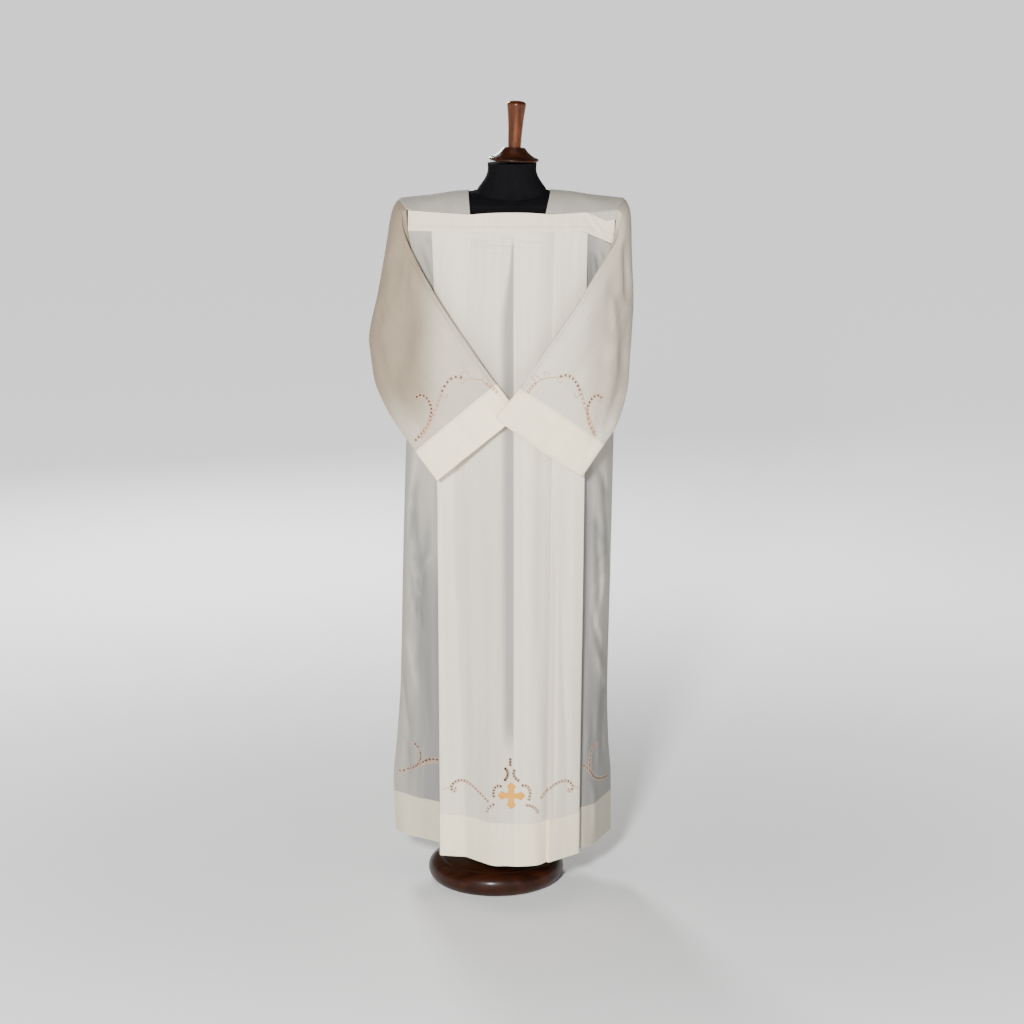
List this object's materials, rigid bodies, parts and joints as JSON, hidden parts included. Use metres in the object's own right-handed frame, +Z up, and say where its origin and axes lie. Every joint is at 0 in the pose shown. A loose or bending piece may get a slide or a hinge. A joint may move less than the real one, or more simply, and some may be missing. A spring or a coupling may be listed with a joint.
{
  "type": "alb on a dress form",
  "caption": "Long white alb with a square neck, pleated panels, wide folded sleeves and an openwork hem, hung on a limbless dress form with a turned wooden stand.",
  "frame": {"origin": "centre of the wooden base's underside, on the floor", "axes": "+Z up; the garment's front faces -Y; +X is to the right as seen from the front"},
  "size_m": [0.573, 0.3868, 1.7217],
  "materials": {
    "ivory_cloth": "matt plain weave",
    "gold_thread": "satin stitch",
    "tan_thread": "satin stitch",
    "black_jersey": "matt knit",
    "walnut": "gloss lacquer",
    "amber_wood": "gloss lacquer"
  },
  "bodies": {
    "root": {"stand_base": "walnut", "stand_pole": "walnut", "form_body": "black_jersey", "neck_cap": "walnut", "neck_finial": "amber_wood", "yoke_left": "ivory_cloth", "yoke_right": "ivory_cloth", "front_band": "ivory_cloth", "back_band": "ivory_cloth", "front_panel": "ivory_cloth", "back_panel": "ivory_cloth", "sleeve_left": "ivory_cloth", "sleeve_right": "ivory_cloth", "hem_cross": "gold_thread"}
  },
  "joints": []
}
